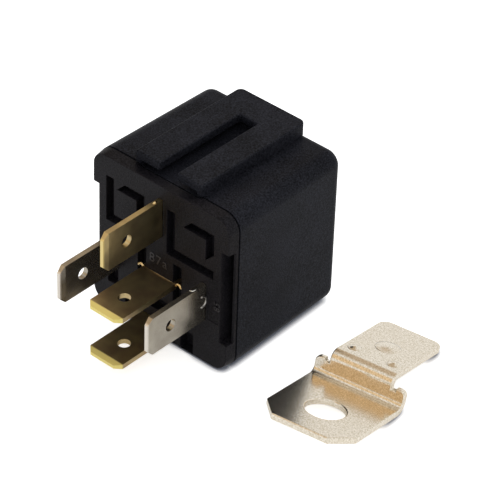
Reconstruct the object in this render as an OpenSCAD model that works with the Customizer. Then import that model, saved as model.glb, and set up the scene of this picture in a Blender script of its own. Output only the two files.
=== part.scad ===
// Five-terminal automotive relay, lying on its side, with its mounting bracket taken off beside it.
// +X runs to the right across the terminal face, +Y runs away from the terminal tips, +Z is up.
// The origin is the centre of the face that the relay lies on. All sizes are in millimetres.

/* [Housing] */
// Width of the housing across the terminal face
housing_w = 26.2; // [25:0.1:30]
// Height of the housing without its rails
housing_h = 26.7; // [26:0.1:31]
// Depth of the housing from the flange's front to its back
housing_d = 23.8; // [23.5:0.1:30]
// Radius of the two long corners on the rail side
rail_side_r = 2.6; // [2:0.1:4]
// Radius of the two long corners on the resting side
rest_side_r = 2.8; // [2:0.1:4]
// Radius of the rounded edges round the back
back_edge_r = 1.5; // [0.8:0.1:2]
// Thickness of the cover's walls
wall_t = 1; // [0.8:0.05:1.3]

/* [Bracket rails] */
// Width over the two rails
rails_w = 12.5; // [12.3:0.1:14]
// Height of the rails above the cover
rails_h = 2; // [2:0.1:3]
// Width of the open gap between the rails
rail_gap_w = 3.3; // [3:0.1:4]
// Length of the open gap from the seam
rail_gap_len = 16.4; // [14:0.1:18]
// Length of the tunnel under the rails from the seam
tunnel_len = 17; // [16:0.1:19]
// Depth of the tunnel's floor below the cover's outer face
tunnel_sink = 0.5; // [0.3:0.1:0.6]
// Distance that the rails reach out over the flange
rail_overhang = 0.22; // [0:0.02:0.4]
// Distance of the rails' ends from the cover's back
rail_back_gap = 0.45; // [0.2:0.05:1]
// Radius of the rails' two corners at the back
rail_corner_r = 1; // [0.5:0.1:1.5]

/* [Base] */
// Thickness of the flange in front of the seam
flange_t = 1.8; // [1.6:0.1:2.4]
// Length of the flange's slightly smaller front
flange_front_len = 1.3; // [0.8:0.1:1.4]
// Height of the step round the flange's front
flange_step = 0.25; // [0.1:0.05:0.4]
// Depth of the plug behind the flange, inside the cover
plug_d = 2.5; // [2:0.1:3]
// Clearance round the plug
plug_clear = 0.1; // [0.05:0.01:0.15]
// Width of the shadow gap at the seam
seam_gap = 0.15; // [0.1:0.01:0.3]
// Depth of the notches in the flange's two sides
side_notch_depth = 1.6; // [1.2:0.1:1.8]
// Height of the lower end of the side notches
side_notch_low = 5.2; // [4.5:0.1:6]
// Distance of the upper end of the side notches below the rail side
side_notch_drop = 5.7; // [5.2:0.1:6.5]
// Width of the moulded grooves in the terminal face
groove_w = 1.5; // [1:0.05:1.6]
// Depth of the moulded grooves and pockets in the terminal face
groove_depth = 1.4; // [0.8:0.1:1.6]

/* [Terminals] */
// Width of a blade
blade_w = 6.3; // [6.2:0.05:6.5]
// Thickness of a blade
blade_t = 0.8; // [0.7:0.05:0.9]
// Length of a blade outside the base
blade_len = 11.6; // [10:0.1:13]
// Size of the chamfers on the corners of a blade's tip
tip_chamfer = 0.9; // [0.6:0.05:1.5]
// Length of the bevels on a blade's tip
tip_bevel_len = 1; // [0.8:0.05:1.6]
// Thickness that is left at a blade's tip
tip_t = 0.55; // [0.2:0.05:0.6]
// Diameter of the hole in a blade
blade_hole_d = 1.9; // [1.5:0.1:2.2]
// Distance from a blade's tip to its hole
blade_hole_from_tip = 4.5; // [4:0.1:5]
// Half the distance between the two coil terminals
coil_terminal_x = 8.4; // [8.2:0.05:9]
// Distance of the two coil terminals below the housing's middle
coil_terminal_drop = 2.4; // [2:0.05:2.8]
// Distance of terminal 87a below the housing's middle
terminal_87a_drop = 2.75; // [2.4:0.05:3]
// Distance of terminal 30 below the rail side
terminal_30_drop = 5.65; // [5.4:0.05:6]
// Height of terminal 87 above the resting side
terminal_87_z = 2.4; // [2.2:0.05:2.6]
// Clearance round a blade in its slot
slot_clear = 0.05; // [0.02:0.01:0.1]

/* [Coil] */
// Distance of the coil's axis below the rail side
coil_drop = 11.2; // [11:0.1:11.5]
// Diameter of the winding
winding_d = 12.2; // [10:0.1:12.4]
// Diameter of the bobbin's flanges
bobbin_flange_d = 13.2; // [12.8:0.1:13.6]
// Thickness of the bobbin's flanges
bobbin_flange_t = 0.8; // [0.6:0.05:1]
// Wall of the bobbin's tube
bobbin_wall = 0.6; // [0.5:0.05:0.8]
// Diameter of the core
core_d = 5.6; // [5:0.1:6]
// Diameter of the core's pole head
pole_d = 8.4; // [7:0.1:9]
// Thickness of the core's pole head
pole_t = 0.6; // [0.5:0.05:0.8]
// Length of the bobbin between its outer faces
bobbin_len = 9; // [8.6:0.1:9.6]

/* [Yoke and armature] */
// Width of the yoke and the armature
yoke_w = 13; // [11:0.1:14]
// Thickness of the yoke
yoke_t = 1.5; // [1.2:0.05:1.6]
// Gap between the plug's inner face and the yoke's foot
yoke_lift = 1.3; // [1.2:0.05:1.6]
// Thickness of the armature
armature_t = 1.3; // [1:0.05:1.5]
// Length of the armature past the hinge line
armature_len = 14.6; // [14:0.1:15]
// Gap between the closed armature and what it seats on
seat_gap = 0.05; // [0.03:0.01:0.1]
// Angle between the released and the closed armature, in degrees
armature_stroke = 3; // [2:0.1:3.2]

/* [Contacts] */
// Thickness of the leaf springs
leaf_t = 0.3; // [0.2:0.05:0.35]
// Width of the leaf springs
leaf_w = 5; // [4:0.1:6]
// Distance of the contacts' line above terminal 87
contact_rise = 2.3; // [2.1:0.05:2.6]
// Diameter of a contact's head
contact_d = 2.6; // [2.2:0.1:2.8]
// Height of a contact's head
contact_h = 0.7; // [0.5:0.05:0.75]
// Gap that stays between contacts which touch
contact_gap = 0.05; // [0.03:0.01:0.08]
// Diameter of a rivet's shank
rivet_d = 1.2; // [1:0.1:1.4]
// Diameter of a rivet's head
rivet_head_d = 2; // [1.8:0.1:2.4]
// Distance between the two rivets of a leaf
rivet_pitch = 2.8; // [2.6:0.1:3.2]
// Thickness of a stamped conductor inside the housing
conductor_t = 0.7; // [0.6:0.05:0.8]

/* [Bracket] */
// Thickness of the bracket's sheet
sheet_t = 1; // [0.8:0.05:1.1]
// Width of the bracket's plate
plate_w = 14.6; // [13:0.1:18]
// Distance from the plate's hole to its front edge
plate_front = 7.05; // [6:0.1:9]
// Distance from the plate's hole to the riser's front face
riser_y = 8.7; // [7:0.1:10]
// Width of the plate's front edge between its chamfers
plate_nose_w = 9; // [7:0.1:10]
// Length of the chamfers on the plate's front corners
nose_chamfer_len = 3.3; // [2:0.1:4]
// Diameter of the bracket's hole
bracket_hole_d = 5.9; // [5:0.1:6.6]
// Height from the plate's top to the tongue's top
step_h = 4.05; // [3.6:0.05:5]
// Width of the bracket's tongue
tongue_w = 10.1; // [9:0.1:10.2]
// Length of the tongue from the riser's front face
tongue_len = 15; // [13:0.1:16]
// Radius of the tongue's end corners
tongue_corner_r = 1.6; // [1:0.1:2.5]
// Height of the riser's shoulders above the plate's top
shoulder_h = 2.5; // [2:0.1:2.7]
// Inner radius of the bracket's bends
bend_r = 0.5; // [0.3:0.05:0.8]
// Distance from the riser to the stop dimples
dimple_y = 3.2; // [2.5:0.1:4]
// Half the distance between the stop dimples
dimple_x = 3.05; // [2.5:0.05:3.5]
// Diameter of a stop dimple
dimple_d = 1.2; // [1:0.1:1.4]
// Height of a stop dimple
dimple_h = 0.35; // [0.2:0.05:0.4]
// Width of the lanced latch
latch_w = 2.9; // [2.4:0.1:3]
// Distance from the riser to the latch's straight edge
latch_y = 6.4; // [5.5:0.1:8]
// Height of the latch above the tongue
latch_h = 0.5; // [0.3:0.05:0.6]
// Clearance of the tongue in the tunnel
tongue_clear = 0.1; // [0.05:0.01:0.15]
// Distance from the housing's middle to the bracket's hole along X
bracket_x = 30.05; // [29.5:0.05:35]
// Distance from the flange's front to the bracket's hole along Y
bracket_y = 1.45; // [0:0.05:5]
// Turn of the bracket on the table, in degrees
bracket_turn = 8.4; // [0:0.1:9]

/* [Hidden] */
$fn = 48;
eps = 0.01;
cut = 1;

// Planes along Y, from the terminal face to the back
y_front = -housing_d / 2;
y_seam = y_front + flange_t;
y_plug = y_seam + plug_d;
y_foot = y_plug + yoke_lift;
y_coil = y_foot + yoke_t;
y_head = y_coil + bobbin_len;
y_pole = y_head + pole_t;
y_hinge = y_pole + seat_gap;
y_back = housing_d / 2;

// Rails and tunnel
rail_front = y_seam - rail_overhang;
rail_back = y_back - rail_back_gap;
tunnel_floor = housing_h - tunnel_sink;
lead_in_start = y_front + flange_t / 4;
roof_pad_gap = 0.3;

// Heights of the terminals
terminal_30_z = housing_h - terminal_30_drop;
coil_terminal_z = housing_h / 2 - coil_terminal_drop;
terminal_87a_z = housing_h / 2 - terminal_87a_drop;
side_notch_high = housing_h - side_notch_drop;

// Planes along Z, for the yoke on the rail side
coil_z = housing_h - coil_drop;
contact_z = terminal_87_z + contact_rise;
bobbin_gap = 0.4;
bore_clear = 0.05;
z_yoke_in = coil_z + bobbin_flange_d / 2 + bobbin_gap;
z_yoke_out = z_yoke_in + yoke_t;
hinge_inset = 0.15;
z_hinge = z_yoke_out - hinge_inset;
foot_reach = 5;

// Armature group, measured from the hinge line with the armature closed
rivet_clear = 0.02;
rivet_hole_d = rivet_d + 2 * rivet_clear;
rivet_head_h = 0.45;
rivet_from_hinge = 2.6;
spring_leg_len = 4.2;
arm_start = 1.3;
arm_end_margin = 1.7;
contact_reach = z_hinge - contact_z;
leaf_y = armature_t;
arm_y = leaf_y + leaf_t;
spring_bend_r = 0.4;
armature_edge = spring_bend_r + 0.1;
spring_tail_len = 6;
rivet_from_tail = 2;
yoke_rivet_y = y_pole - spring_tail_len + rivet_from_tail;

// Fixed contacts
no_face_y = y_hinge + arm_y - contact_h - contact_gap;
nc_lift = (arm_y + leaf_t + contact_h) * cos(armature_stroke)
  + contact_reach * sin(armature_stroke) + contact_d / 2 * sin(armature_stroke);
nc_face_y = y_hinge + nc_lift + contact_gap;
contact_bed = contact_d / 2 + 0.1;
no_strip_w = 4;
nc_strip_w = 3;
nc_strip_x = 7.7;
nc_strip_z = contact_z - 0.25;
nc_foot_w = 3;

// Coil terminals inside the housing
tail_w = 2.4;
tail_len = 4.5;
lead_d = 0.3;
lead_gap = 0.02;
lead_y = y_coil + bobbin_flange_t + 0.6;
tail_dz = coil_terminal_z - coil_z;
lead_dip = atan2(-tail_dz, coil_terminal_x);

// Grooves and pockets of the terminal face
frame_low = housing_h - 11.2;
frame_high = housing_h - 3.55;
left_frame = [-10.35, frame_low, -3, frame_high];
right_frame = [1.3, frame_low, 10.1, frame_high];
left_groove_start = 2.1;
right_groove_start = 3.1;
side_groove_stop = 2.7;
root_slot_in = 2.6;
root_slot_w = 1.6;
root_slot_h = 6.6;
root_slot_rise = 0.45;
centre_pocket = [3.2, 2.2];
centre_pocket_drop = 4.9;
centre_pocket_z = terminal_87a_z - centre_pocket_drop;
low_notch_x = 5.4;
low_notch = [2.4, 3.5];
low_notch_z = 2.15;
left_pocket_x = -9;
left_pocket = [2, 3.3];
left_pocket_drop = 4.6;
left_pocket_z = coil_terminal_z - left_pocket_drop;
notch_pocket_floor = 0.8;
notch_rim_t = 0.5;

// Bracket's own frame: the hole's rim is the origin and Y runs along the tongue
bend_out = bend_r + sheet_t;
bend_y = riser_y + sheet_t - bend_out;
bend_z = bend_r;
tongue_end = riser_y + tongue_len;
tongue_under = step_h - sheet_t;
lean_run = tongue_end - bend_y;
lean_rise = tongue_under - bend_z;
bracket_lean = atan2(lean_rise, lean_run) + asin(bend_out / norm([lean_run, lean_rise]));
bracket_z = bend_out - bend_z * cos(bracket_lean) + bend_y * sin(bracket_lean);

// Rectangle with one radius on its two upper corners and one on its two lower corners
module rounded_outline(w, h, r_top, r_low) {
  for (side = [-1, 1]) {
    translate([side * (w / 2 - r_top), h - r_top]) circle(r_top);
    translate([side * (w / 2 - r_low), r_low]) circle(r_low);
  }
  translate([-w / 2 + r_top, h - r_top]) square([w - 2 * r_top, r_top]);
  translate([-w / 2 + r_low, 0]) square([w - 2 * r_low, r_low]);
  translate([-w / 2, r_low]) square([w, h - r_top - r_low]);
}

// Outline of the housing, moved in by an inset
module housing_outline(inset) {
  translate([0, inset])
    rounded_outline(housing_w - 2 * inset, housing_h - 2 * inset, rail_side_r - inset, rest_side_r - inset);
}

// Runs a flat XZ outline along Y, from one plane to another
module along_y(y_from, y_to) {
  translate([0, y_to, 0]) rotate([90, 0, 0]) linear_extrude(y_to - y_from) children();
}

// Block between two corners
module block(low, high) {
  translate(low) cube(high - low);
}

// Profile from the seam to the back, with its back corners rounded
module back_profile(width, y_from, y_to, r) {
  translate([-width / 2, y_from]) square([width, y_to - y_from - r]);
  translate([-width / 2 + r, y_to - 2 * r]) square([width - 2 * r, 2 * r]);
  for (side = [-1, 1]) translate([side * (width / 2 - r), y_to - r]) circle(r);
}

// Solid with the housing's outline and rounded back edges
module housing_block(inset, y_from, y_to, r) {
  tall = housing_h - 2 * inset;
  intersection() {
    along_y(y_from, y_to) housing_outline(inset);
    linear_extrude(housing_h + cut) back_profile(housing_w - 2 * inset, y_from - cut, y_to, r);
    translate([-housing_w, 0, housing_h / 2]) rotate([90, 0, 90])
      linear_extrude(2 * housing_w) rotate(-90) back_profile_turned(tall, y_from - cut, y_to, r);
  }
}

// The same profile, drawn so that it can be stood up along X
module back_profile_turned(width, y_from, y_to, r) {
  rotate(90) translate([y_from, -width / 2]) square([y_to - y_from - r, width]);
  rotate(90) translate([y_to - 2 * r, -width / 2 + r]) square([2 * r, width - 2 * r]);
  for (side = [-1, 1]) rotate(90) translate([y_to - r, side * (width / 2 - r)]) circle(r);
}

// Outline of the two rails from above, with rounded corners at the back
module rails_outline() {
  half = rails_w / 2;
  inner = half - rail_corner_r;
  translate([-half, rail_front]) square([rails_w, rail_back - rail_corner_r - rail_front]);
  translate([-inner, rail_front]) square([2 * inner, rail_back - rail_front]);
  for (side = [-1, 1]) translate([side * inner, rail_back - rail_corner_r]) circle(rail_corner_r);
}

// Tunnel for the bracket's tongue, half sunk in the cover, and the open gap between the rails
module rails_cut() {
  tunnel_w = tongue_w + 2 * tongue_clear;
  block([-tunnel_w / 2, rail_front - cut, tunnel_floor],
    [tunnel_w / 2, y_seam + tunnel_len, tunnel_floor + sheet_t + tongue_clear]);
  block([-rail_gap_w / 2, rail_front - cut, tunnel_floor],
    [rail_gap_w / 2, y_seam + rail_gap_len, housing_h + rails_h + cut]);
}

module cover() {
  roof = housing_h - wall_t;
  color([0.07, 0.07, 0.08]) difference() {
    union() {
      difference() {
        housing_block(0, y_seam + seam_gap, y_back, back_edge_r);
        along_y(y_seam - cut, y_back - wall_t) housing_outline(wall_t);
      }
      translate([0, 0, housing_h - eps]) linear_extrude(rails_h + eps) rails_outline();
      block([-rails_w / 2, y_plug + roof_pad_gap, roof - tunnel_sink], [rails_w / 2, y_back - wall_t / 2, roof + eps]);
    }
    rails_cut();
  }
}

// Groove in the terminal face between two corners
module face_cut(low, high) {
  block([low[0], y_front - cut, low[1]], [high[0], y_front + groove_depth, high[1]]);
}

// Pocket in the terminal face, given by its centre and size
module face_pocket(centre, size) {
  face_cut(centre - size / 2, centre + size / 2);
}

// Pair of L-shaped grooves that frame a flush boss, the inner one with slanting ends
module groove_frame(frame, start) {
  low = [frame[0], frame[1]];
  high = [frame[2], frame[3]];
  stop = low[1] + side_groove_stop;
  face_cut(low, [low[0] + groove_w, high[1]]);
  face_cut(low, [high[0], low[1] + groove_w]);
  translate([0, y_front + groove_depth, 0]) rotate([90, 0, 0])
    linear_extrude(groove_depth + cut) polygon([
      [low[0] + start, high[1] - groove_w], [low[0] + start + groove_w, high[1]], high,
      [high[0], stop + groove_w], [high[0] - groove_w, stop], high - [groove_w, groove_w]
    ]);
}

// Slot for a blade, right through the base
module blade_slot(x, z, upright) {
  size = [blade_w + 2 * slot_clear, blade_t + 2 * slot_clear];
  w = upright ? size[1] : size[0];
  h = upright ? size[0] : size[1];
  block([x - w / 2, y_front - cut, z - h / 2], [x + w / 2, y_plug + cut, z + h / 2]);
}

// Ramp in the flange that leads the tongue down into the tunnel
module lead_in() {
  translate([-rails_w / 2, 0, 0]) rotate([90, 0, 90]) linear_extrude(rails_w) polygon([
    [lead_in_start, housing_h - flange_step], [y_seam + eps, tunnel_floor],
    [y_seam + eps, housing_h + cut], [lead_in_start, housing_h + cut]
  ]);
}

module base() {
  color([0.09, 0.09, 0.09]) difference() {
    union() {
      along_y(y_front, y_seam) housing_outline(flange_step);
      along_y(y_front + flange_front_len, y_seam) housing_outline(0);
      along_y(y_seam - eps, y_plug) housing_outline(wall_t + plug_clear);
    }
    for (side = [-1, 1]) {
      edge = side * housing_w / 2;
      inner = edge - side * side_notch_depth;
      outer = edge + side * cut;
      rim = edge - side * notch_rim_t;
      block([min(inner, outer), y_front - cut, side_notch_low],
        [max(inner, outer), y_front + flange_front_len, side_notch_high]);
      block([min(inner, rim), y_front + flange_front_len - eps, side_notch_low],
        [max(inner, rim), y_plug - notch_pocket_floor, side_notch_high]);
      face_pocket([side * (root_slot_in + root_slot_w / 2), terminal_87a_z + root_slot_rise],
        [root_slot_w, root_slot_h]);
      face_pocket([side * low_notch_x, low_notch_z], low_notch);
    }
    lead_in();
    groove_frame(left_frame, left_groove_start);
    groove_frame(right_frame, right_groove_start);
    face_pocket([0, centre_pocket_z], centre_pocket);
    face_pocket([left_pocket_x, left_pocket_z], left_pocket);
    blade_slot(0, terminal_30_z, true);
    blade_slot(coil_terminal_x, coil_terminal_z, true);
    blade_slot(-coil_terminal_x, coil_terminal_z, true);
    blade_slot(0, terminal_87a_z, false);
    blade_slot(0, terminal_87_z, false);
  }
}

// Flat blade that lies in the XY plane with its tip towards -Y, bevelled, with chamfered corners and a hole
module blade(y_end = y_plug) {
  tip = y_front - blade_len;
  half = blade_w / 2;
  difference() {
    intersection() {
      translate([0, 0, -blade_t / 2]) linear_extrude(blade_t) polygon([
        [-half, y_end], [-half, tip + tip_chamfer], [-half + tip_chamfer, tip],
        [half - tip_chamfer, tip], [half, tip + tip_chamfer], [half, y_end]
      ]);
      translate([-blade_w, 0, 0]) rotate([90, 0, 90]) linear_extrude(2 * blade_w) polygon([
        [y_end + cut, -blade_t / 2], [tip + tip_bevel_len, -blade_t / 2], [tip, -tip_t / 2],
        [tip, tip_t / 2], [tip + tip_bevel_len, blade_t / 2], [y_end + cut, blade_t / 2]
      ]);
    }
    translate([0, tip + blade_hole_from_tip, 0])
      cylinder(h = blade_t + 2 * cut, d = blade_hole_d, center = true);
  }
}

// Blade that stands on edge, in the YZ plane
module upright_blade(x, z) {
  translate([x, 0, z]) rotate([0, 90, 0]) blade();
}

module terminal_30() {
  color([0.78, 0.66, 0.36]) {
    upright_blade(0, terminal_30_z);
    block([-blade_t / 2, y_plug - eps, terminal_30_z - tail_w / 2],
      [blade_t / 2, y_foot, terminal_30_z + tail_w / 2]);
  }
}

// Coil terminal with a solder tail behind the base
module coil_terminal(side) {
  x = side * coil_terminal_x;
  upright_blade(x, coil_terminal_z);
  block([x - blade_t / 2, y_plug - eps, coil_terminal_z - tail_w / 2],
    [x + blade_t / 2, y_plug + tail_len, coil_terminal_z + tail_w / 2]);
}

module terminal_85() {
  color([0.83, 0.83, 0.82]) coil_terminal(1);
}

module terminal_86() {
  color([0.83, 0.83, 0.82]) coil_terminal(-1);
}

module terminal_87() {
  low = terminal_87_z - conductor_t / 2;
  bed_y = no_face_y - contact_h;
  color([0.78, 0.66, 0.36]) {
    translate([0, 0, terminal_87_z]) blade();
    block([-no_strip_w / 2, y_plug - eps, low], [no_strip_w / 2, bed_y, low + conductor_t]);
    block([-no_strip_w / 2, bed_y - conductor_t, low], [no_strip_w / 2, bed_y, contact_z + contact_bed]);
  }
}

module terminal_87a() {
  foot_low = nc_strip_z - conductor_t / 2;
  foot_high = foot_low + nc_foot_w;
  side_out = nc_strip_x + nc_strip_w / 2;
  bed_y = nc_face_y + contact_h;
  color([0.78, 0.66, 0.36]) {
    translate([0, 0, terminal_87a_z]) blade(y_plug + conductor_t);
    block([-blade_w / 2, y_plug, foot_low],
      [blade_w / 2, y_plug + conductor_t, terminal_87a_z + blade_t / 2]);
    block([-blade_w / 2, y_plug, foot_low], [side_out, y_plug + conductor_t, foot_high]);
    block([nc_strip_x - nc_strip_w / 2, y_plug, foot_low],
      [side_out, bed_y + conductor_t, foot_low + conductor_t]);
    block([-contact_bed, bed_y, contact_z - contact_bed],
      [side_out, bed_y + conductor_t, contact_z + contact_bed]);
  }
}

// Cylinder along +Y from one plane to another
module rod_y(d, y_from, y_to, x, z) {
  translate([x, y_to, z]) rotate([90, 0, 0]) cylinder(h = y_to - y_from, d = d);
}

module bobbin() {
  bore_d = core_d + 2 * bore_clear;
  color([0.86, 0.84, 0.78]) difference() {
    union() {
      rod_y(bobbin_flange_d, y_coil, y_coil + bobbin_flange_t, 0, coil_z);
      rod_y(bobbin_flange_d, y_head - bobbin_flange_t, y_head, 0, coil_z);
      rod_y(bore_d + 2 * bobbin_wall, y_coil, y_head, 0, coil_z);
    }
    rod_y(bore_d, y_coil - cut, y_head + cut, 0, coil_z);
  }
}

module coil_winding() {
  inner_d = core_d + 2 * bore_clear + 2 * bobbin_wall;
  color([0.62, 0.33, 0.16]) difference() {
    rod_y(winding_d, y_coil + bobbin_flange_t, y_head - bobbin_flange_t, 0, coil_z);
    rod_y(inner_d, y_coil - cut, y_head + cut, 0, coil_z);
  }
}

module core() {
  color([0.6, 0.6, 0.62]) {
    rod_y(core_d, y_foot, y_head + eps, 0, coil_z);
    rod_y(pole_d, y_head, y_pole, 0, coil_z);
  }
}

module yoke() {
  foot_low = coil_z - foot_reach;
  color([0.66, 0.66, 0.68]) difference() {
    union() {
      block([-yoke_w / 2, y_foot, foot_low], [yoke_w / 2, y_coil, z_yoke_out]);
      block([-yoke_w / 2, y_coil - eps, z_yoke_in], [yoke_w / 2, y_pole, z_yoke_out]);
    }
    rod_y(core_d + 2 * rivet_clear, y_foot - cut, y_coil + cut, 0, coil_z);
    for (side = [-1, 1])
      translate([side * rivet_pitch / 2, yoke_rivet_y, z_yoke_in - cut])
        cylinder(h = yoke_t + 2 * cut, d = rivet_hole_d);
  }
}

// Places a piece that is drawn from the hinge line, closed, where it stands with the armature released
module released() {
  translate([0, y_hinge, z_hinge]) rotate([armature_stroke, 0, 0]) children();
}

// Leaf that runs up the yoke, bends over the armature's edge and lies on the armature
module hinge_spring() {
  bend_centre_z = hinge_inset - spring_bend_r;
  bend_lift = bend_centre_z * sin(armature_stroke);
  bend_centre_y = (armature_t - spring_bend_r - bend_lift) / cos(armature_stroke);
  color([0.72, 0.5, 0.24]) {
    difference() {
      block([-leaf_w / 2, y_pole - spring_tail_len, z_yoke_out],
        [leaf_w / 2, y_hinge + bend_centre_y, z_yoke_out + leaf_t]);
      for (side = [-1, 1])
        translate([side * rivet_pitch / 2, yoke_rivet_y, z_yoke_out - cut])
          cylinder(h = leaf_t + 2 * cut, d = rivet_hole_d);
    }
    translate([0, y_hinge + bend_centre_y, z_hinge + bend_centre_z]) rotate([90, 0, 90])
      translate([0, 0, -leaf_w / 2]) rotate_extrude(angle = 90)
        translate([spring_bend_r, 0]) square([leaf_t, leaf_w]);
    released() difference() {
      block([-leaf_w / 2, leaf_y, -spring_leg_len], [leaf_w / 2, leaf_y + leaf_t, bend_centre_z]);
      for (side = [-1, 1])
        rod_y(rivet_hole_d, leaf_y - cut, leaf_y + leaf_t + cut, side * rivet_pitch / 2, -rivet_from_hinge);
    }
  }
}

// Round-headed rivet through the leaf and the yoke
module yoke_rivet(side) {
  color([0.75, 0.74, 0.7]) translate([side * rivet_pitch / 2, yoke_rivet_y, 0]) {
    translate([0, 0, z_yoke_in]) cylinder(h = yoke_t + leaf_t, d = rivet_d);
    translate([0, 0, z_yoke_out + leaf_t]) cylinder(h = rivet_head_h, d = rivet_head_d);
  }
}

module yoke_rivet_left() {
  yoke_rivet(-1);
}

module yoke_rivet_right() {
  yoke_rivet(1);
}

module armature() {
  color([0.66, 0.66, 0.68]) released() difference() {
    translate([-yoke_w / 2, 0, 0]) rotate([90, 0, 90]) linear_extrude(yoke_w) polygon([
      [0, 0], [armature_t - armature_edge, 0], [armature_t, -armature_edge],
      [armature_t, -armature_len], [0, -armature_len]
    ]);
    for (side = [-1, 1])
      rod_y(rivet_hole_d, -cut, armature_t + cut, side * rivet_pitch / 2, -rivet_from_hinge);
  }
}

module contact_arm() {
  color([0.72, 0.5, 0.24]) released() difference() {
    block([-leaf_w / 2, arm_y, -contact_reach - arm_end_margin], [leaf_w / 2, arm_y + leaf_t, -arm_start]);
    for (side = [-1, 1])
      rod_y(rivet_hole_d, arm_y - cut, arm_y + leaf_t + cut, side * rivet_pitch / 2, -rivet_from_hinge);
    rod_y(rivet_hole_d, arm_y - cut, arm_y + leaf_t + cut, 0, -contact_reach);
  }
}

// Rivet that holds both leaves on the armature
module armature_rivet(side) {
  x = side * rivet_pitch / 2;
  top = arm_y + leaf_t;
  color([0.75, 0.74, 0.7]) released() {
    rod_y(rivet_d, 0, top, x, -rivet_from_hinge);
    rod_y(rivet_head_d, top, top + rivet_head_h, x, -rivet_from_hinge);
  }
}

module armature_rivet_left() {
  armature_rivet(-1);
}

module armature_rivet_right() {
  armature_rivet(1);
}

module moving_contact() {
  top = arm_y + leaf_t;
  color([0.88, 0.87, 0.84]) released() {
    rod_y(rivet_d, arm_y - eps, top + eps, 0, -contact_reach);
    rod_y(contact_d, arm_y - contact_h, arm_y, 0, -contact_reach);
    rod_y(contact_d, top, top + contact_h, 0, -contact_reach);
  }
}

module contact_no() {
  color([0.88, 0.87, 0.84]) rod_y(contact_d, no_face_y - contact_h, no_face_y, 0, contact_z);
}

module contact_nc() {
  color([0.88, 0.87, 0.84]) rod_y(contact_d, nc_face_y, nc_face_y + contact_h, 0, contact_z);
}

// Straight wire from the winding to a solder tail
module coil_lead(side) {
  start = winding_d / 2 + lead_gap;
  wall = coil_terminal_x - blade_t / 2 - lead_gap - lead_d / 2 * sin(lead_dip);
  stop = wall / cos(lead_dip);
  color([0.7, 0.4, 0.2]) translate([0, lead_y, coil_z]) rotate([0, side * (90 + lead_dip), 0])
    translate([0, 0, start]) cylinder(h = stop - start, d = lead_d);
}

module coil_lead_85() {
  coil_lead(1);
}

module coil_lead_86() {
  coil_lead(-1);
}

// Side view of the bent sheet, with Y along the tongue and Z up from the plate's top
module bracket_profile() {
  upper_y = riser_y + bend_out;
  upper_z = step_h - bend_out;
  translate([-plate_front, -sheet_t]) square([plate_front + bend_y, sheet_t]);
  translate([bend_y, bend_z]) quarter_ring(-90);
  translate([riser_y, bend_z]) square([sheet_t, upper_z - bend_z]);
  translate([upper_y, upper_z]) quarter_ring(90);
  translate([upper_y, tongue_under]) square([tongue_end - upper_y, sheet_t]);
}

// Quarter of a ring with the bend's two radii, from a start angle
module quarter_ring(start) {
  rotate(start) intersection() {
    difference() {
      circle(bend_out);
      circle(bend_r);
    }
    square(bend_out + cut);
  }
}

// Outline of the flat sheet from above
module bracket_outline() {
  nose = plate_nose_w / 2;
  half = plate_w / 2;
  polygon([
    [-nose, -plate_front], [nose, -plate_front], [half, -plate_front + nose_chamfer_len],
    [half, riser_y + bend_out], [-half, riser_y + bend_out], [-half, -plate_front + nose_chamfer_len]
  ]);
  translate([-tongue_w / 2, riser_y]) square([tongue_w, tongue_len - tongue_corner_r]);
  translate([-tongue_w / 2 + tongue_corner_r, riser_y])
    square([tongue_w - 2 * tongue_corner_r, tongue_len]);
  for (side = [-1, 1])
    translate([side * (tongue_w / 2 - tongue_corner_r), tongue_end - tongue_corner_r])
      circle(tongue_corner_r);
}

// Raised half-moon that springs against the end of the rails' gap
module latch() {
  translate([0, riser_y + latch_y, tongue_under + eps]) intersection() {
    cylinder(h = sheet_t + latch_h - eps, d = latch_w);
    block([-latch_w, 0, 0], [latch_w, latch_w, sheet_t + latch_h]);
  }
}

module bracket_body() {
  shoulder = plate_w;
  difference() {
    intersection() {
      translate([-plate_w, 0, 0]) rotate([90, 0, 90]) linear_extrude(2 * plate_w) bracket_profile();
      translate([0, 0, -2 * sheet_t]) linear_extrude(step_h + 3 * sheet_t) bracket_outline();
    }
    translate([0, 0, -2 * sheet_t]) cylinder(h = 3 * sheet_t, d = bracket_hole_d);
    for (side = [-1, 1]) {
      near = side * tongue_w / 2;
      far = side * shoulder;
      block([min(near, far), riser_y - cut, shoulder_h], [max(near, far), tongue_end + cut, step_h + cut]);
    }
  }
  latch();
  for (side = [-1, 1])
    translate([side * dimple_x, riser_y + dimple_y, tongue_under + eps])
      cylinder(h = sheet_t + dimple_h - eps, d = dimple_d);
}

module mounting_bracket() {
  color([0.84, 0.82, 0.77])
    translate([bracket_x, y_front + bracket_y, bracket_z])
      rotate([-bracket_lean, 0, bracket_turn]) bracket_body();
}

cover();
base();
terminal_30();
terminal_85();
terminal_86();
terminal_87();
terminal_87a();
bobbin();
coil_winding();
core();
yoke();
hinge_spring();
yoke_rivet_left();
yoke_rivet_right();
armature();
contact_arm();
armature_rivet_left();
armature_rivet_right();
moving_contact();
contact_no();
contact_nc();
coil_lead_85();
coil_lead_86();
mounting_bracket();
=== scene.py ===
import math

import bmesh
import bpy
from mathutils import Matrix, Quaternion, Vector


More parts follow.
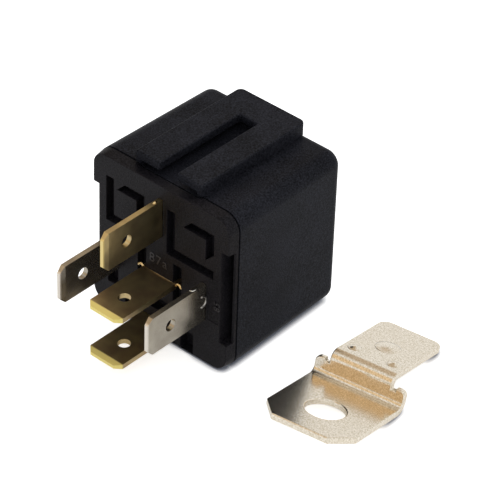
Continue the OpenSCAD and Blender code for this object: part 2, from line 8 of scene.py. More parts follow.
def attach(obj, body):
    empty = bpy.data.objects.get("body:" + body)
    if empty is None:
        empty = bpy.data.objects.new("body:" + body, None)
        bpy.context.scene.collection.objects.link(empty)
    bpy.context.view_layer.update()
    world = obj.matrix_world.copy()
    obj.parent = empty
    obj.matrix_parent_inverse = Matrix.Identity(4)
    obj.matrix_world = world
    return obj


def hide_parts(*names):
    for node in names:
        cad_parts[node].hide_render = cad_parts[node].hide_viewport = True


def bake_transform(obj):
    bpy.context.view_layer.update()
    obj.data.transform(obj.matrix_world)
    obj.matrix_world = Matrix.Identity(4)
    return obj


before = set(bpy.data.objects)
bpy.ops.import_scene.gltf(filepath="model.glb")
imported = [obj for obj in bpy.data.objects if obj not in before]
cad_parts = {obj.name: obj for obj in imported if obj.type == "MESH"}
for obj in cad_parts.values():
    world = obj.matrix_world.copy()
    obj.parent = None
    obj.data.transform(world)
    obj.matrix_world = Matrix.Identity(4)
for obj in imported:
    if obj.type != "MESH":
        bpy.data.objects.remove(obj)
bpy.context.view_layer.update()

mm = 0.001
past = 1  # distance in mm that a cutting piece reaches past what it cuts
print("frame loaded:", len(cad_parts), "nodes")


# Shader maths: a socket that can be added, multiplied and so on
class Wire:
    def __init__(self, finish, socket):
        self.finish = finish
        self.socket = socket

    def maths(self, operation, first, second):
        return self.finish.node("ShaderNodeMath", {"operation": operation}, {0: first, 1: second})

    def __add__(self, other):
        return self.maths("ADD", self, other)

    def __sub__(self, other):
        return self.maths("SUBTRACT", self, other)

    def __rsub__(self, other):
        return self.maths("SUBTRACT", other, self)

    def __mul__(self, other):
        return self.maths("MULTIPLY", self, other)

    __radd__ = __add__
    __rmul__ = __mul__


# A node tree that is being written, of a material or of the world
class Finish:
    def __init__(self, owner):
        self.owner = owner
        owner.use_nodes = True
        self.tree = owner.node_tree
        self.tree.nodes.clear()

    def node(self, kind, settings=None, values=None, output=0):
        made = self.tree.nodes.new(kind)
        for key, setting in (settings or {}).items():
            setattr(made, key, setting)
        for key, value in (values or {}).items():
            if isinstance(value, Wire):
                self.tree.links.new(value.socket, made.inputs[key])
            else:
                made.inputs[key].default_value = value
        if made.outputs:
            return Wire(self, made.outputs[output])

    def here(self, output="Object"):
        return self.node("ShaderNodeTexCoord", output=output)

    def noise(self, size, detail=2, roughness=0.5):
        return self.node("ShaderNodeTexNoise", {}, {
            "Vector": self.here(), "Scale": 1 / (size * mm), "Detail": detail, "Roughness": roughness})

    def ramp(self, value, low, high):
        return self.node("ShaderNodeMapRange", {"clamp": True}, {
            "Value": value, "From Min": low, "From Max": high})

    def mix(self, share, first, second):
        # a colour Mix has its factor in socket 0 and its colours in 6 and 7, and gives the colour from 2
        return self.node("ShaderNodeMix", {"data_type": "RGBA"}, {
            0: share, 6: first, 7: second}, output=2)

    def bump(self, height, strength, distance):
        return self.node("ShaderNodeBump", {}, {
            "Height": height, "Strength": strength, "Distance": distance * mm})

    def surface(self, values):
        shader = self.node("ShaderNodeBsdfPrincipled", {}, values)
        return self.end("ShaderNodeOutputMaterial", shader)

    def end(self, kind, shader):
        self.node(kind, {}, {"Surface": shader})
        return self.owner


def paint(red, green, blue):
    # display colour, 0 to 255, as the linear values that a shader takes
    linear = []
    for part in (red, green, blue):
        share = part / 255
        linear.append(((share + 0.055) / 1.055) ** 2.4 if part > 10 else share / 12.92)
    return (*linear, 1)


# Patch sizes are in mm; an edge is the range of the noise over which one tone turns into the other
plastic = {
    "cloudSize": 6, "cloudShare": 0.25, "toneEdge": (0.36, 0.64), "dustSize": 0.3, "dustEdge": (0.6, 0.8),
    "dustColour": paint(96, 94, 92), "cloudRough": 0.12, "skinRough": 0.1, "cloudDetail": 4,
    "skinContrast": 0.6,
}


def mouldedPlastic(name, colour, pale, rough, grain):
    p = plastic
    f = Finish(bpy.data.materials.new(name))
    cloud = f.noise(p["cloudSize"], p["cloudDetail"])
    skin = f.noise(grain["size"], roughness=p["skinContrast"])
    dust = f.ramp(f.noise(p["dustSize"]), *p["dustEdge"])
    blotches = p["cloudShare"] * cloud + (1 - p["cloudShare"]) * skin
    tone = f.mix(f.ramp(blotches, *p["toneEdge"]), colour, pale)
    return f.surface({
        "Base Color": f.mix(dust * grain["dust"], tone, p["dustColour"]),
        "Roughness": rough + p["cloudRough"] * (cloud - 0.5) + p["skinRough"] * (skin - 0.5),
        "Specular IOR Level": grain["gloss"],
        "Normal": f.bump(skin, grain["strength"], grain["depth"])})


metal = {
    "toneEdge": (0.36, 0.66), "speckSize": 0.22, "speckEdge": (0.6, 0.78), "speckColour": paint(120, 98, 70),
    "cloudRough": 0.02, "rippleStrength": 0.4, "rippleDepth": 0.03,  # depth as a share of the patch size
}


def stampedMetal(name, clean, worn, rough, patch=2.6, specks=0.0, metallic=1.0, tipHighlight=None):
    m = metal
    f = Finish(bpy.data.materials.new(name))
    cloud = f.noise(patch)
    tone = f.mix(f.ramp(cloud, *m["toneEdge"]), clean, worn)
    if specks:
        spots = f.ramp(f.noise(m["speckSize"]), *m["speckEdge"])
        tone = f.mix(spots * specks, tone, m["speckColour"])
    if tipHighlight:  # painted highlight: a brighter, less metallic colour towards -Y, over the blade tips whose bevels catch the light
        reach = 0 - f.node("ShaderNodeSeparateXYZ", {}, {"Vector": f.here()}, output="Y")
        highlightShare = f.ramp(reach, tipHighlight["start"] * mm, tipHighlight["full"] * mm)
        tone = f.mix(highlightShare, tone, tipHighlight["colour"])
        metallic = metallic - tipHighlight["diffuseShare"] * highlightShare
    return f.surface({
        "Base Color": tone,
        "Metallic": metallic,
        "Roughness": rough + m["cloudRough"] * cloud,
        "Normal": f.bump(cloud, m["rippleStrength"], m["rippleDepth"] * patch)})


winding = {
    "wire": 0.22, "wavePeriod": 0.314, "waver": 0.4, "grooveEdge": (0.0, 0.5), "grooveStrength": 0.6,
    "grooveDepth": 0.05, "patch": 1.6, "toneEdge": (0.35, 0.65), "cloudRough": 0.06, "metallic": 0.9,
}  # wavePeriod is the length of one wave of the texture at scale 1


def woundCopper(name, clean, worn, rough):
    w = winding
    f = Finish(bpy.data.materials.new(name))
    scale = w["wavePeriod"] / (w["wire"] * mm)
    turns = f.node("ShaderNodeTexWave", {"wave_type": "BANDS", "bands_direction": "Y"}, {
        "Vector": f.here(), "Scale": scale, "Distortion": w["waver"], "Detail": 1.0})
    cloud = f.noise(w["patch"])
    tone = f.mix(f.ramp(cloud, *w["toneEdge"]), clean, worn)
    # the grooves between the turns take the darker worn tone: painted shade between the turns
    return f.surface({
        "Base Color": f.mix(f.ramp(turns, *w["grooveEdge"]), worn, tone),
        "Metallic": w["metallic"],
        "Roughness": rough + w["cloudRough"] * (cloud - 0.5),
        "Normal": f.bump(turns, w["grooveStrength"], w["grooveDepth"])})


# A finish has its main tone, the tone of its patches and its roughness first
finishes = {
    "cover": mouldedPlastic(
        "coverPlastic", paint(6, 7, 11), paint(43, 44, 51), 0.45,
        {"size": 0.22, "gloss": 0.05, "strength": 0.5, "depth": 0.05, "dust": 0.06}),
    "base": mouldedPlastic(
        "basePlastic", paint(3, 3, 6), paint(38, 36, 40), 0.45,
        {"size": 0.22, "gloss": 0.09, "strength": 0.5, "depth": 0.05, "dust": 0.06}),
    "mark": mouldedPlastic(
        "markPlastic", paint(34, 33, 36), paint(66, 64, 66), 0.4,
        {"size": 0.2, "gloss": 0.3, "strength": 0.3, "depth": 0.03, "dust": 0.1}),
    "bobbin": mouldedPlastic(
        "bobbinPlastic", paint(222, 216, 200), paint(228, 223, 208), 0.45,
        {"size": 0.3, "gloss": 0.4, "strength": 0.15, "depth": 0.02, "dust": 0.1}),
    # The tip colours of the blade finishes are painted highlight; terminalBrassUpright is a copy of the brass
    # for the upright blade 30, with its own painted tip highlight
    "brass": stampedMetal(
        "terminalBrass", paint(206, 186, 136), paint(180, 156, 118), 0.27, patch=3.2, metallic=0.95,
        tipHighlight={"start": 22.5, "full": 22.65, "diffuseShare": 0.55, "colour": paint(248, 228, 136)}),
    "brassUpright": stampedMetal(
        "terminalBrassUpright", paint(206, 188, 140), paint(180, 160, 120), 0.27, patch=3.2, metallic=0.97,
        tipHighlight={"start": 23.2, "full": 23.4, "diffuseShare": 0.4, "colour": paint(236, 212, 140)}),
    # brighter than the terminals' brass, for the staked lugs and the upset root: partly painted highlight
    "highlightBrass": stampedMetal("lugHighlightBrass", paint(240, 214, 160), paint(214, 180, 122), 0.22),
    # the tip colour of the tin is painted highlight
    "tin": stampedMetal(
        "terminalTin", paint(180, 173, 159), paint(162, 154, 141), 0.22, metallic=0.95,
        tipHighlight={"start": 23.2, "full": 23.4, "diffuseShare": 0.4, "colour": paint(232, 224, 212)}),
    "copper": woundCopper("coilCopper", paint(205, 124, 82), paint(164, 84, 46), 0.3),
    "iron": stampedMetal("softIron", paint(190, 190, 192), paint(150, 148, 146), 0.36, specks=0.1),
    "bronze": stampedMetal("springBronze", paint(214, 158, 92), paint(176, 118, 62), 0.26),
    "steel": stampedMetal("rivetSteel", paint(200, 198, 194), paint(160, 156, 150), 0.3),
    "silver": stampedMetal("contactSilver", paint(236, 234, 228), paint(200, 196, 188), 0.25),
    "bracket": stampedMetal(
        "bracketPlating", paint(241, 233, 219), paint(212, 200, 177), 0.2, patch=0.22, specks=0.06),
}
print("finishes made:", len(finishes))


def pieceFrom(name, points, faces):
    mesh = bpy.data.meshes.new(name)
    mesh.from_pydata([(x * mm, y * mm, z * mm) for x, y, z in points], [], faces)
    mesh.validate()
    bm = bmesh.new()
    bm.from_mesh(mesh)
    bmesh.ops.recalc_face_normals(bm, faces=bm.faces)
    bm.to_mesh(mesh)
    bm.free()
    piece = bpy.data.objects.new(name, mesh)
    bpy.context.scene.collection.objects.link(piece)
    return piece


def loft(name, rings):
    # closed skin through rings that have the same number of points, flat at both ends
    count = len(rings[0])
    points = [p for ring in rings for p in ring]
    faces = []
    for r in range(len(rings) - 1):
        for i in range(count):
            j = (i + 1) % count
            faces.append((r * count + i, r * count + j, (r + 1) * count + j, (r + 1) * count + i))
    faces.append(tuple(range(count)))
    faces.append(tuple((len(rings) - 1) * count + i for i in range(count)))
    return pieceFrom(name, points, faces)


def block(name, low, high):
    (x0, y0, z0), (x1, y1, z1) = low, high
    return loft(name, [[(x0, y, z0), (x1, y, z0), (x1, y, z1), (x0, y, z1)] for y in (y0, y1)])


def arc(cx, cy, radius, start, end, steps=10):
    # points of an arc, in a plane, with both its ends
    angles = [math.radians(start + (end - start) * i / steps) for i in range(steps + 1)]
    return [(cx + radius * math.cos(a), cy + radius * math.sin(a)) for a in angles]


def circle(cx, cy, radius, steps):
    return arc(cx, cy, radius, 0, 360, steps)[:-1]


def shape(piece, tools, operation="DIFFERENCE"):
    # cuts, joins or intersects, and takes the tools away again
    for tool in tools:
        step = piece.modifiers.new("step", "BOOLEAN")
        step.operation = operation
        step.solver = "EXACT"
        step.object = tool
    depsgraph = bpy.context.evaluated_depsgraph_get()
    result = bpy.data.meshes.new_from_object(piece.evaluated_get(depsgraph))
    piece.modifiers.clear()
    piece.data = result
    for tool in tools:
        bpy.data.objects.remove(tool)
    return piece


def join(name, parts):
    bm = bmesh.new()
    for part in parts:
        bm.from_mesh(part.data)
        bpy.data.objects.remove(part)
    mesh = bpy.data.meshes.new(name)
    bm.to_mesh(mesh)
    bm.free()
    piece = bpy.data.objects.new(name, mesh)
    bpy.context.scene.collection.objects.link(piece)
    return piece


# Angles in degrees: an edge over sharpAngle is rounded, and one under flatAngle is dissolved
rounding = {"sharpAngle": 32, "flatAngle": 0.6}


def soften(piece, width, segments, planar=False):
    # rounded edges; planar merges the triangles of flat faces first
    if planar:
        flat = piece.modifiers.new("flat", "DECIMATE")
        flat.decimate_type = "DISSOLVE"
        flat.angle_limit = math.radians(rounding["flatAngle"])
    edge = piece.modifiers.new("edge", "BEVEL")
    edge.width = width * mm
    edge.segments = segments
    edge.limit_method = "ANGLE"
    edge.angle_limit = math.radians(rounding["sharpAngle"])
    edge.use_clamp_overlap = False
    even = piece.modifiers.new("even", "WEIGHTED_NORMAL")
    even.keep_sharp = True
    return piece


def coat(piece, finish):
    piece.data.materials.clear()
    piece.data.materials.append(finishes[finish])
    for polygon in piece.data.polygons:
        polygon.use_smooth = True


def dress(piece, finish, nodes=()):
    coat(piece, finish)
    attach(piece, "housing")
    if nodes:
        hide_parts(*nodes)


housing = {
    "width": 26.2, "height": 26.7, "front": -11.9, "seam": -10.1, "plug": -7.6, "back": 11.9,
    "highRound": 2.6, "lowRound": 2.8, "backRound": 1.5, "leastRound": 0.2, "cornerSteps": 14,
    "seamGap": 0.15, "seamInset": 0.06, "lipRound": 0.05, "wall": 1.0, "draft": 0.3,
    "frontLength": 1.3, "frontStep": 0.25, "shellEdge": 0.02,
}


def outlineRing(inset, y):
    # rounded outline of the housing at one place along its depth
    h, steps = housing, housing["cornerSteps"]
    half = h["width"] / 2 - inset
    low, high = inset, h["height"] - inset
    corners = [
        (half, low, h["lowRound"], -90), (half, high, h["highRound"], 0),
        (-half, high, h["highRound"], 90), (-half, low, h["lowRound"], 180)]
    ring = []
    for x, z, radius, start in corners:
        r = max(radius - inset, h["leastRound"])
        cx = x - math.copysign(r, x)
        cz = z - r if z == high else z + r
        ring += [(px, y, pz) for px, pz in arc(cx, cz, r, start, start + 90, steps)]
    return ring


def frontEdge(inset, y, radius, steps=3):
    # rings round an edge, from the face at y back to the side
    rings = []
    for i in range(steps + 1):
        a = math.radians(90 * i / steps)
        rings.append(outlineRing(inset + radius * (1 - math.sin(a)), y + radius * (1 - math.cos(a))))
    return rings


def backEdge(inset, y, radius, steps=10):
    # rings round an edge, from the side back to the face at y
    rings = []
    for i in range(steps + 1):
        a = math.radians(90 * i / steps)
        rings.append(outlineRing(inset + radius * (1 - math.cos(a)), y - radius + radius * math.sin(a)))
    return rings


rails = {
    "width": 12.5, "height": 2.0, "front": -10.32, "back": 11.45, "cornerRound": 1.0, "gapWidth": 3.3,
    "gapEnd": 6.3, "tunnelWidth": 10.3, "tunnelHeight": 1.1, "tunnelSink": 0.5, "tunnelEnd": 6.9,
    "rootRise": 0.1, "edge": 0.25,
}


def tunnelCut():
    r, floor = rails, housing["height"] - rails["tunnelSink"]
    return block("tunnel", (-r["tunnelWidth"] / 2, r["front"] - past, floor),
                 (r["tunnelWidth"] / 2, r["tunnelEnd"], floor + r["tunnelHeight"]))


def makeCover():
    h = housing
    seam = h["seam"] + h["seamGap"] + h["seamInset"]
    rings = [outlineRing(h["wall"], h["back"] - h["wall"]), outlineRing(h["wall"], seam)]
    rings += frontEdge(0, seam, h["lipRound"])
    rings += backEdge(h["draft"], h["back"], h["backRound"])
    shell = loft("coverShell", rings)
    shape(shell, [tunnelCut()])
    dress(soften(shell, h["shellEdge"], 1), "cover", nodes=["cover"])


def makeRails():
    r = rails
    half, top, floor = r["width"] / 2, housing["height"] + r["height"], housing["height"] - r["tunnelSink"]
    corner = r["cornerRound"]
    right = [(half, r["front"])] + arc(half - corner, r["back"] - corner, corner, 0, 90)
    plan = right + [(-x, y) for x, y in reversed(right)]
    body = loft("coverRails", [[(x, y, z) for x, y in plan] for z in (floor + r["rootRise"], top)])
    gap = block("gap", (-r["gapWidth"] / 2, r["front"] - past, floor),
                (r["gapWidth"] / 2, r["gapEnd"], top + past))
    under = block("under", (-half - past, r["front"] - past, floor - past),
                  (half + past, housing["seam"] + housing["seamGap"], housing["height"]))
    shape(body, [tunnelCut(), gap, under])
    dress(soften(body, r["edge"], 3), "cover", nodes=["cover"])


makeCover()
makeRails()
print("cover made")

# Places on the face are x and z in mm: frames and panel from corner to corner, pockets and slots by their
# middle with their width and height. The last number of a frame is how far in its upper groove starts.
# The notch is given by its lowest and highest z.
face = {
    "groove": 1.5, "depth": 1.4, "slotDepth": 5.5, "frontRound": 0.12, "edge": 0.07, "seamStep": 0.04,
    "plugInset": 1.1, "sideStop": 2.7, "notch": (5.2, 21.0), "notchDepth": 1.6, "notchFloor": 0.8,
    "notchOverlap": 0.1, "rim": 0.5,
    "leftFrame": (-10.35, 15.5, -3.0, 23.15, 2.1), "rightFrame": (1.3, 15.5, 10.1, 23.15, 3.1),
    "pockets": [(3.4, 11.05, 1.6, 6.6), (-3.4, 11.05, 1.6, 6.6), (0, 5.7, 3.2, 2.2),
                (5.4, 2.15, 2.4, 3.5), (-5.4, 2.15, 2.4, 3.5), (-9, 6.35, 2, 3.3)],
    "slots": [(0, 21.05, 0.9, 6.4), (8.4, 10.95, 0.9, 6.4), (-8.4, 10.95, 0.9, 6.4),
              (0, 10.6, 6.4, 0.9), (0, 2.4, 6.4, 0.9)],
    "panel": (9.2, 8.1, 11.25, 13.0), "panelDepth": 0.12, "rampFlare": 2.2, "rampOverlap": 0.05,
}


def faceCut(x0, z0, x1, z1, depth):
    return block("cut", (x0, housing["front"] - past, z0), (x1, housing["front"] + depth, z1))


def middleCut(x, z, width, tall, depth):
    return faceCut(x - width / 2, z - tall / 2, x + width / 2, z + tall / 2, depth)


def frameCuts(x0, z0, x1, z1, start):
    # L-shaped groove at the lower left and, with slanting ends, one at the upper right
    g, depth, stop = face["groove"], face["depth"], z0 + face["sideStop"]
    inner = [(x0 + start, z1 - g), (x0 + start + g, z1), (x1, z1),
             (x1, stop + g), (x1 - g, stop), (x1 - g, z1 - g)]
    ys = (housing["front"] - past, housing["front"] + depth)
    return [faceCut(x0, z0, x0 + g, z1, depth), faceCut(x0 + g, z0, x1, z0 + g, depth),
            loft("cut", [[(x, y, z) for x, z in inner] for y in ys])]


def notchCuts(side):
    # open in the flange's front, with a rim behind it
    h, (low, high) = housing, face["notch"]
    half, lipY = h["width"] / 2, h["front"] + h["frontLength"]
    inner = side * (half - face["notchDepth"])
    stretches = [(half + past, h["front"] - past, lipY),
                 (half - face["rim"], lipY - face["notchOverlap"], h["plug"] - face["notchFloor"])]
    cuts = []
    for outer, y0, y1 in stretches:
        x0, x1 = sorted((inner, side * outer))
        cuts.append(block("cut", (x0, y0, low), (x1, y1, high)))
    return cuts


def rampCut():
    # ramp that leads the bracket's tongue into its tunnel
    h, foot, brimZ = housing, rails["tunnelWidth"] / 2, housing["height"] + past
    sections = []
    for y, low in ((h["front"], h["height"] - h["frontStep"]),
                   (h["seam"] + face["rampOverlap"], h["height"] - rails["tunnelSink"])):
        brim = foot + (brimZ - low) * face["rampFlare"]
        sections.append([(-foot, y, low), (foot, y, low), (brim, y, brimZ), (-brim, y, brimZ)])
    return loft("ramp", sections)


def makeBase():
    h, seamStep, inset = housing, face["seamStep"], face["plugInset"]
    rings = frontEdge(h["frontStep"], h["front"], face["frontRound"])
    rings += [outlineRing(0, h["seam"] - seamStep), outlineRing(seamStep, h["seam"])]
    rings += [outlineRing(inset, h["seam"]), outlineRing(inset, h["plug"])]
    body = loft("baseBody", rings)
    cuts = frameCuts(*face["leftFrame"]) + frameCuts(*face["rightFrame"]) + notchCuts(-1) + notchCuts(1)
    cuts += [middleCut(*pocket, face["depth"]) for pocket in face["pockets"]]
    cuts += [middleCut(*slot, face["slotDepth"]) for slot in face["slots"]]
    cuts += [faceCut(*face["panel"], face["panelDepth"]), rampCut()]
    shape(body, cuts)
    dress(soften(body, face["edge"], 2), "base", nodes=["base"])


numbers = {
    "raised": 0.06, "spread": 1.15,
    "places": {"87a": (-1.95, 12.75, 2.2), "85": (11.45, 10.45, 1.5), "86": (-10.35, 10.45, 1.5)},
    "upright": ("85", "86"),
}  # a place is x, z and the size of the digits


def makeNumber(text, x, z, size):
    # raised terminal number on the face
    curve = bpy.data.curves.new("number", "FONT")
    curve.body = text
    curve.size = size * mm
    curve.extrude = numbers["raised"] * mm
    curve.space_character = numbers["spread"]
    holder = bpy.data.objects.new("number", curve)
    bpy.context.scene.collection.objects.link(holder)
    depsgraph = bpy.context.evaluated_depsgraph_get()
    mesh = bpy.data.meshes.new_from_object(holder.evaluated_get(depsgraph))
    bpy.data.objects.remove(holder)
    piece = bpy.data.objects.new("number" + text, mesh)
    bpy.context.scene.collection.objects.link(piece)
    turn = Matrix.Rotation(math.pi / 2, 4, "X")
    if text in numbers["upright"]:
        turn = turn @ Matrix.Rotation(math.pi / 2, 4, "Z")
    piece.matrix_world = Matrix.Translation(Vector((x, housing["front"], z)) * mm) @ turn
    dress(piece, "mark")


makeBase()
for text, (x, z, size) in numbers["places"].items():
    makeNumber(text, x, z, size)
print("base made")

# The bracket in its own frame: x across, y from the hole's centre to the tongue, z up from the plate's top
bracket = {
    "sheet": 1.0, "width": 14.6, "front": 7.05, "noseWidth": 9.0, "noseLength": 3.3, "hole": 5.9,
    "riser": 8.7, "step": 4.05, "bendLow": 0.9, "bendHigh": 0.5,
    "tongueWidth": 10.1, "tongueLength": 15.0, "cornerRound": 1.6, "edge": 0.2,
    "shoulder": 2.5, "shoulderRound": 0.8, "reliefWidth": 0.7, "reliefDepth": 0.45,
    "dimpleAcross": 3.2, "dimpleAlong": 3.4, "dimpleRound": 1.05, "dimpleHeight": 0.3,
    "latchAlong": 7.35, "latchRound": 1.9, "latchHeight": 0.2, "swellingRoot": 0.5, "swellingRings": 9,
    "mouldReach": (-4, 8), "holeReach": (-4, 3), "place": (30.05, -10.45, 3.114), "lean": -14.82, "turn": 8.4,
}


def swelling(x, y, radius, height):
    # low round swelling pressed into the tongue, level at its rim and at its top; its last ring is half a
    # step from the middle
    z, count, sides = bracket["step"], bracket["swellingRings"], 32
    rings = [[(px, py, z - bracket["swellingRoot"]) for px, py in circle(x, y, radius, sides)]]
    for i in range(count):
        size = radius * (1 - i / (count - 0.5))
        rise = height * (1 + math.cos(math.pi * size / radius)) / 2
        rings.append([(px, py, z + rise) for px, py in circle(x, y, size, sides)])
    return loft("swelling", rings)


def bracketStrip():
    # the sheet's stepped side, from edge to edge
    b = bracket
    low, high, sheet = b["bendLow"], b["bendHigh"], b["sheet"]
    lowY, highY, highZ = b["riser"] - low, b["riser"] + high + sheet, b["step"] - high - sheet
    end = b["riser"] + b["tongueLength"]
    side = [(-b["front"], 0)] + arc(lowY, low, low, -90, 0)
    side += arc(highY, highZ, high + sheet, 180, 90) + [(end, b["step"])]
    side += [(end, b["step"] - sheet)] + arc(highY, highZ, high, 90, 180)
    side += arc(lowY, low, low + sheet, 0, -90) + [(-b["front"], -sheet)]
    half = b["width"] / 2
    return loft("mountingBracket", [[(x, y, z) for y, z in side] for x in (-half, half)])


def bracketMould():
    # outline from above: clipped nose, plate, tongue with round corners
    b = bracket
    half, nose, tongue, corner = b["width"] / 2, b["noseWidth"] / 2, b["tongueWidth"] / 2, b["cornerRound"]
    neck, end = b["riser"] + b["bendHigh"] + b["sheet"], b["riser"] + b["tongueLength"]
    right = [(nose, -b["front"]), (half, -b["front"] + b["noseLength"]), (half, neck), (tongue, neck)]
    right += arc(tongue - corner, end - corner, corner, 0, 90)
    outline = right + [(-x, y) for x, y in reversed(right)]
    return loft("mould", [[(x, y, z) for x, y in outline] for z in b["mouldReach"]])


def shoulderCuts(side):
    # room beside the tongue, the relief at its root, and the shoulder's rounded corner
    b, clear = bracket, 2 * past
    half, tongue, shoulder, q = b["width"] / 2, b["tongueWidth"] / 2, b["shoulder"], b["shoulderRound"]
    y0, y1 = b["riser"] - clear, b["riser"] + b["tongueLength"] + clear
    cuts = []
    for outer, low in ((half + clear, shoulder), (tongue + b["reliefWidth"], shoulder - b["reliefDepth"])):
        x0, x1 = sorted((side * tongue, side * outer))
        cuts.append(block("cut", (x0, y0, low), (x1, y1, b["step"] + clear)))
    corner = [(half + past, shoulder - q), (half + past, shoulder + past), (half - q, shoulder + past)]
    corner += arc(half - q, shoulder - q, q, 90, 0, steps=6)
    cuts.append(loft("cut", [[(side * x, y, z) for x, z in corner] for y in (y0, y1)]))
    return cuts


def makeBracket():
    b = bracket
    strip = shape(bracketStrip(), [bracketMould()], "INTERSECT")
    ring = circle(0, 0, b["hole"] / 2, steps=64)
    hole = loft("hole", [[(x, y, z) for x, y in ring] for z in b["holeReach"]])
    shape(strip, [hole] + shoulderCuts(-1) + shoulderCuts(1))
    stops = [swelling(0, b["riser"] + b["latchAlong"], b["latchRound"], b["latchHeight"])]
    for x in (-b["dimpleAcross"], b["dimpleAcross"]):
        stops.append(swelling(x, b["riser"] + b["dimpleAlong"], b["dimpleRound"], b["dimpleHeight"]))
    turn = Quaternion((0, 0, 1), math.radians(b["turn"])) @ Quaternion((1, 0, 0), math.radians(b["lean"]))
    stand = Matrix.Translation(Vector(b["place"]) * mm) @ turn.to_matrix().to_4x4()
    for piece in (strip, join("bracketStops", stops)):
        piece.data.transform(stand)
        dress(piece, "bracket", nodes=["mounting_bracket"])
    soften(strip, b["edge"], 3)


makeBracket()
print("bracket made")

# Finish and width of the rounded edges of each node that is shown as it comes
kept = {
    "terminal_30": ("brassUpright", 0.07), "terminal_87": ("brass", 0.07), "terminal_87a": ("brass", 0.07),
    "terminal_85": ("tin", 0.07), "terminal_86": ("tin", 0.07),
    "bobbin": ("bobbin", 0.1), "coil_winding": ("copper", 0.1), "core": ("iron", 0.1), "yoke": ("iron", 0.1),
    "yoke_rivet_left": ("steel", 0.12), "yoke_rivet_right": ("steel", 0.12),
    "armature": ("iron", 0.08), "contact_arm": ("bronze", 0.03), "armature_rivet_left": ("steel", 0.12),
    "armature_rivet_right": ("steel", 0.12), "moving_contact": ("silver", 0.1), "contact_no": ("silver", 0.1),
    "contact_nc": ("silver", 0.1), "coil_lead_85": ("copper", 0.03), "coil_lead_86": ("copper", 0.03),
}
for name, (finish, width) in kept.items():
    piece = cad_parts[name]
    coat(piece, finish)
    soften(piece, width, 2, planar=True)
print("carried-over nodes finished:", len(kept))

# Places of the spring are y and z; the leg's are measured from the hinge
spring = {
    "thick": 0.3, "width": 5.0, "tailEnd": -1.2, "tailFace": 24.0, "bend": (5.764, 23.6), "bendRound": 0.4,
    "hinge": (4.85, 23.85), "released": 3, "legFace": 1.3, "legLength": 4.2, "rivetPitch": 2.8,
    "rivetHole": 1.24, "yokeRivet": 0.8, "armatureRivet": -2.6, "cutReach": 0.2,
    "bendsFrom": 24.0, "bendsTo": 23.66,
}


def makeSpring():
    # leaf from the yoke over the armature's edge, with its leg turned about the hinge by the released angle
    g = spring
    (by, bz), (hy, hz), t, r = g["bend"], g["hinge"], g["thick"], g["bendRound"]
    a = math.radians(g["released"])

    def leg(y, z):
        return hy + y * math.cos(a) - z * math.sin(a), hz + y * math.sin(a) + z * math.cos(a)

    side = [(g["tailEnd"], g["tailFace"] + t)] + arc(by, bz, r + t, 90, g["released"], steps=14)
    side += [leg(g["legFace"] + t, -g["legLength"]), leg(g["legFace"], -g["legLength"])]
    side += arc(by, bz, r, g["released"], 90, steps=14) + [(g["tailEnd"], g["tailFace"])]
    half = g["width"] / 2
    leaf = loft("hingeLeaf", [[(x, y, z) for y, z in side] for x in (-half, half)])
    tailFaces = (g["tailFace"] - g["cutReach"], g["tailFace"] + t + g["cutReach"])
    legFaces = (g["legFace"] - g["cutReach"], g["legFace"] + t + g["cutReach"])
    holes = []
    for x in (-g["rivetPitch"] / 2, g["rivetPitch"] / 2):
        ring = circle(x, g["yokeRivet"], g["rivetHole"] / 2, steps=24)
        holes.append(loft("hole", [[(px, py, z) for px, py in ring] for z in tailFaces]))
        ring = circle(x, g["armatureRivet"], g["rivetHole"] / 2, steps=24)
        holes.append(loft("hole", [[(px, *leg(y, pz)) for px, pz in ring] for y in legFaces]))
    shape(leaf, holes)
    leaf.data.materials.clear()
    leaf.data.materials.append(finishes["bronze"])
    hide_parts("hinge_spring")
    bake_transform(leaf)


makeSpring()
print("spring made")

lugs = {
    "stake": {"x": 3.6, "y": -11.75, "z": 10.6, "reach": 0.5, "thick": 0.22},
    "rootEdge": {"inset": 0.4, "ahead": 0.2, "rise": 0.46, "thick": 0.04},
    "ring": {"place": (8.8, -12.65, 11.35), "reach": 0.9, "opening": 105, "thick": 0.15},
    "upsetEdge": {
        "path": [(8.1, -14.55, 14.12), (8.5, -14.35, 14.08), (8.6, -13.9, 14.1), (8.6, -13.0, 14.2)],
        "thick": 0.12},
    "upsetRoot": {"path": [(0, -13.4, 24.1), (0, -13.0, 24.16), (0, -12.5, 24.1)], "thick": 0.3},
    "sides": 8, "endShare": 0.35,
}


def bar(name, path, thick):
    # round bar along a path of points, thinner at its two ends
    last, sides = len(path) - 1, lugs["sides"]
    rings = []
    for i, here in enumerate(path):
        ahead = (Vector(path[min(i + 1, last)]) - Vector(path[max(i - 1, 0)])).normalized()
        turn = ahead.to_track_quat("Z", "Y")
        size = thick * (lugs["endShare"] if i in (0, last) else 1)
        ring = []
        for k in range(sides):
            a = 2 * math.pi * k / sides
            ring.append(tuple(Vector(here) + turn @ Vector((size * math.cos(a), size * math.sin(a), 0))))
        rings.append(ring)
    return loft(name, rings)


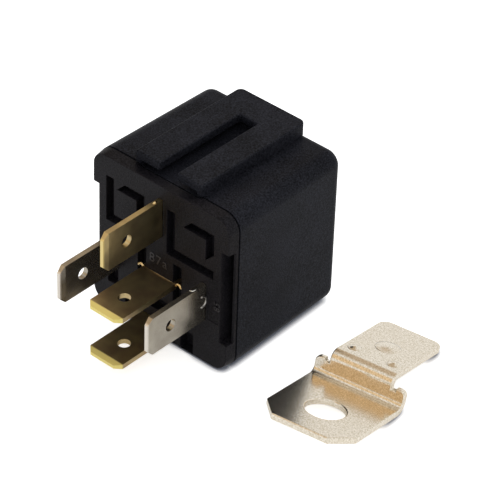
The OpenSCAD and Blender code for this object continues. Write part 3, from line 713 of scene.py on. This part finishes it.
def makeLugs():
    # staked ends and root edge of terminal 87a, stamped ring and upset edge of 85, upset root of 30
    # The staked lugs and the upset root take a brass brighter than their blades: partly painted highlight.
    g, root, ring = lugs["stake"], lugs["rootEdge"], lugs["ring"]
    for side in (-1, 1):
        hoop = arc(0, 0, g["reach"], 180, 0, steps=12)
        path = [(side * g["x"] + dx, g["y"], g["z"] + dz) for dx, dz in hoop]
        dress(bar("stakedLug", path, g["thick"]), "highlightBrass")
    reach, y, z = g["x"] - root["inset"], g["y"] - root["ahead"], g["z"] + root["rise"]
    path = [(x, y, z) for x in (-reach, 0, reach)]
    dress(bar("rootEdge", path, root["thick"]), "brass")
    # The stamped ring is drawn only along its bright side, in steel, and the upset edge in silver brighter
    # than its tin blade: partly painted highlight.
    x, y, z = ring["place"]
    hoop = arc(0, 0, ring["reach"], -ring["opening"], ring["opening"], steps=16)
    path = [(x, y + dy, z + dz) for dy, dz in hoop]
    dress(bar("stampedRing", path, ring["thick"]), "steel")
    dress(bar("upsetEdge", **lugs["upsetEdge"]), "silver")
    dress(bar("upsetRoot", **lugs["upsetRoot"]), "highlightBrass")


makeLugs()
print("lugs made")

# Table, light and camera
studio = {
    "tableSize": 3.0, "tableColour": 0.65, "seenGlow": 0.66, "seenShade": 1.0, "mirrorGlow": 0.2,
    "mirrorShade": 0.95, "contactShade": (0.42, 0.45, 0.55, 1), "contactReach": 1.1,
    "contactEdge": (0.35, 0.9), "skyStrength": 0.8, "skyMirror": 0.14,
    "keyStrength": 2.2, "keySize": 0.7, "keyPlace": (-0.5, 0.55, 1.3),
    # warm walls seen in reflections alone: direction, where they start, where they are full, colour
    "patches": [((-0.36, -0.7, 0.61), 0.91, 0.965, (0.93, 0.7, 0.44, 1)),
                ((-0.52, 0.4, 0.75), 0.81, 0.93, (0.64, 0.52, 0.39, 1))],
}


def whichRay(f):
    return [f.node("ShaderNodeLightPath", output=ray) for ray in ("Is Camera Ray", "Is Glossy Ray")]


def makeTable():
    g, half = studio, studio["tableSize"] / 2 / mm
    table = pieceFrom("tableTop", [(-half, -half, 0), (half, -half, 0), (half, half, 0), (-half, half, 0)],
                      [(0, 1, 2, 3)])
    f = Finish(bpy.data.materials.new("tablePaint"))
    seen, mirrored = whichRay(f)

    def look(shade, glow):
        flat = f.node("ShaderNodeBsdfDiffuse", {}, {"Color": (shade, shade, shade, 1)})
        lit = f.node("ShaderNodeEmission", {}, {"Strength": glow})
        return f.node("ShaderNodeAddShader", {}, {0: flat, 1: lit})

    def either(share, first, second):
        return f.node("ShaderNodeMixShader", {}, {0: share, 1: first, 2: second})

    opened = f.node("ShaderNodeAmbientOcclusion", {}, {"Distance": g["contactReach"] * mm}, output="AO")
    close = f.node("ShaderNodeBsdfDiffuse", {}, {"Color": g["contactShade"]})
    above = either(f.ramp(opened, *g["contactEdge"]), close, look(g["seenShade"], g["seenGlow"]))
    below = either(mirrored, look(g["tableColour"], 0), look(g["mirrorShade"], g["mirrorGlow"]))
    table.data.materials.append(f.end("ShaderNodeOutputMaterial", either(seen, below, above)))


def makeSky():
    f = Finish(bpy.data.worlds.new("studioSky"))
    seen, mirrored = whichRay(f)
    strength = studio["skyStrength"] + (1 - studio["skyStrength"]) * seen + studio["skyMirror"] * mirrored
    here, tone = f.here("Generated"), (1, 1, 1, 1)
    for toward, edge, full, colour in studio["patches"]:
        near = f.node("ShaderNodeVectorMath", {"operation": "DOT_PRODUCT"},
                      {0: here, 1: Vector(toward).normalized()}, output="Value")
        tone = f.mix(f.ramp(near, edge, full) * mirrored, tone, colour)
    sky = f.node("ShaderNodeBackground", {}, {"Color": tone, "Strength": strength})
    bpy.context.scene.world = f.end("ShaderNodeOutputWorld", sky)


def makeLamp():
    lamp = bpy.data.lights.new("keyLamp", "AREA")
    lamp.shape = "DISK"
    lamp.size = studio["keySize"]
    lamp.energy = studio["keyStrength"]
    holder = bpy.data.objects.new("keyLamp", lamp)
    bpy.context.scene.collection.objects.link(holder)
    holder.location = studio["keyPlace"]
    holder.visible_glossy = False
    holder.rotation_euler = (-Vector(studio["keyPlace"])).to_track_quat("-Z", "Y").to_euler()


camera = {
    "azimuth": 40.47, "elevation": 37.23, "roll": 2.11, "distance": 409.5, "aim": (4.9, 1.8, 10.5),
    "lens": 206.57, "sensor": 36.0, "nearest": 0.01,
}


def makeCamera():
    c = camera
    az, el = math.radians(c["azimuth"]), math.radians(c["elevation"])
    away = Vector((math.sin(az) * math.cos(el), -math.cos(az) * math.cos(el), math.sin(el)))
    holder = bpy.data.objects.new("camera", bpy.data.cameras.new("camera"))
    bpy.context.scene.collection.objects.link(holder)
    holder.data.lens = c["lens"]
    holder.data.sensor_width = c["sensor"]
    holder.data.clip_start = c["nearest"]
    turn = (-away).to_track_quat("-Z", "Y") @ Quaternion((0, 0, 1), math.radians(c["roll"]))
    place = (Vector(c["aim"]) + c["distance"] * away) * mm
    holder.matrix_world = Matrix.Translation(place) @ turn.to_matrix().to_4x4()
    bpy.context.scene.camera = holder


makeTable()
makeSky()
makeLamp()
makeCamera()
bpy.context.scene.view_settings.view_transform = "Standard"
print("studio made")

bpy.context.view_layer.update()
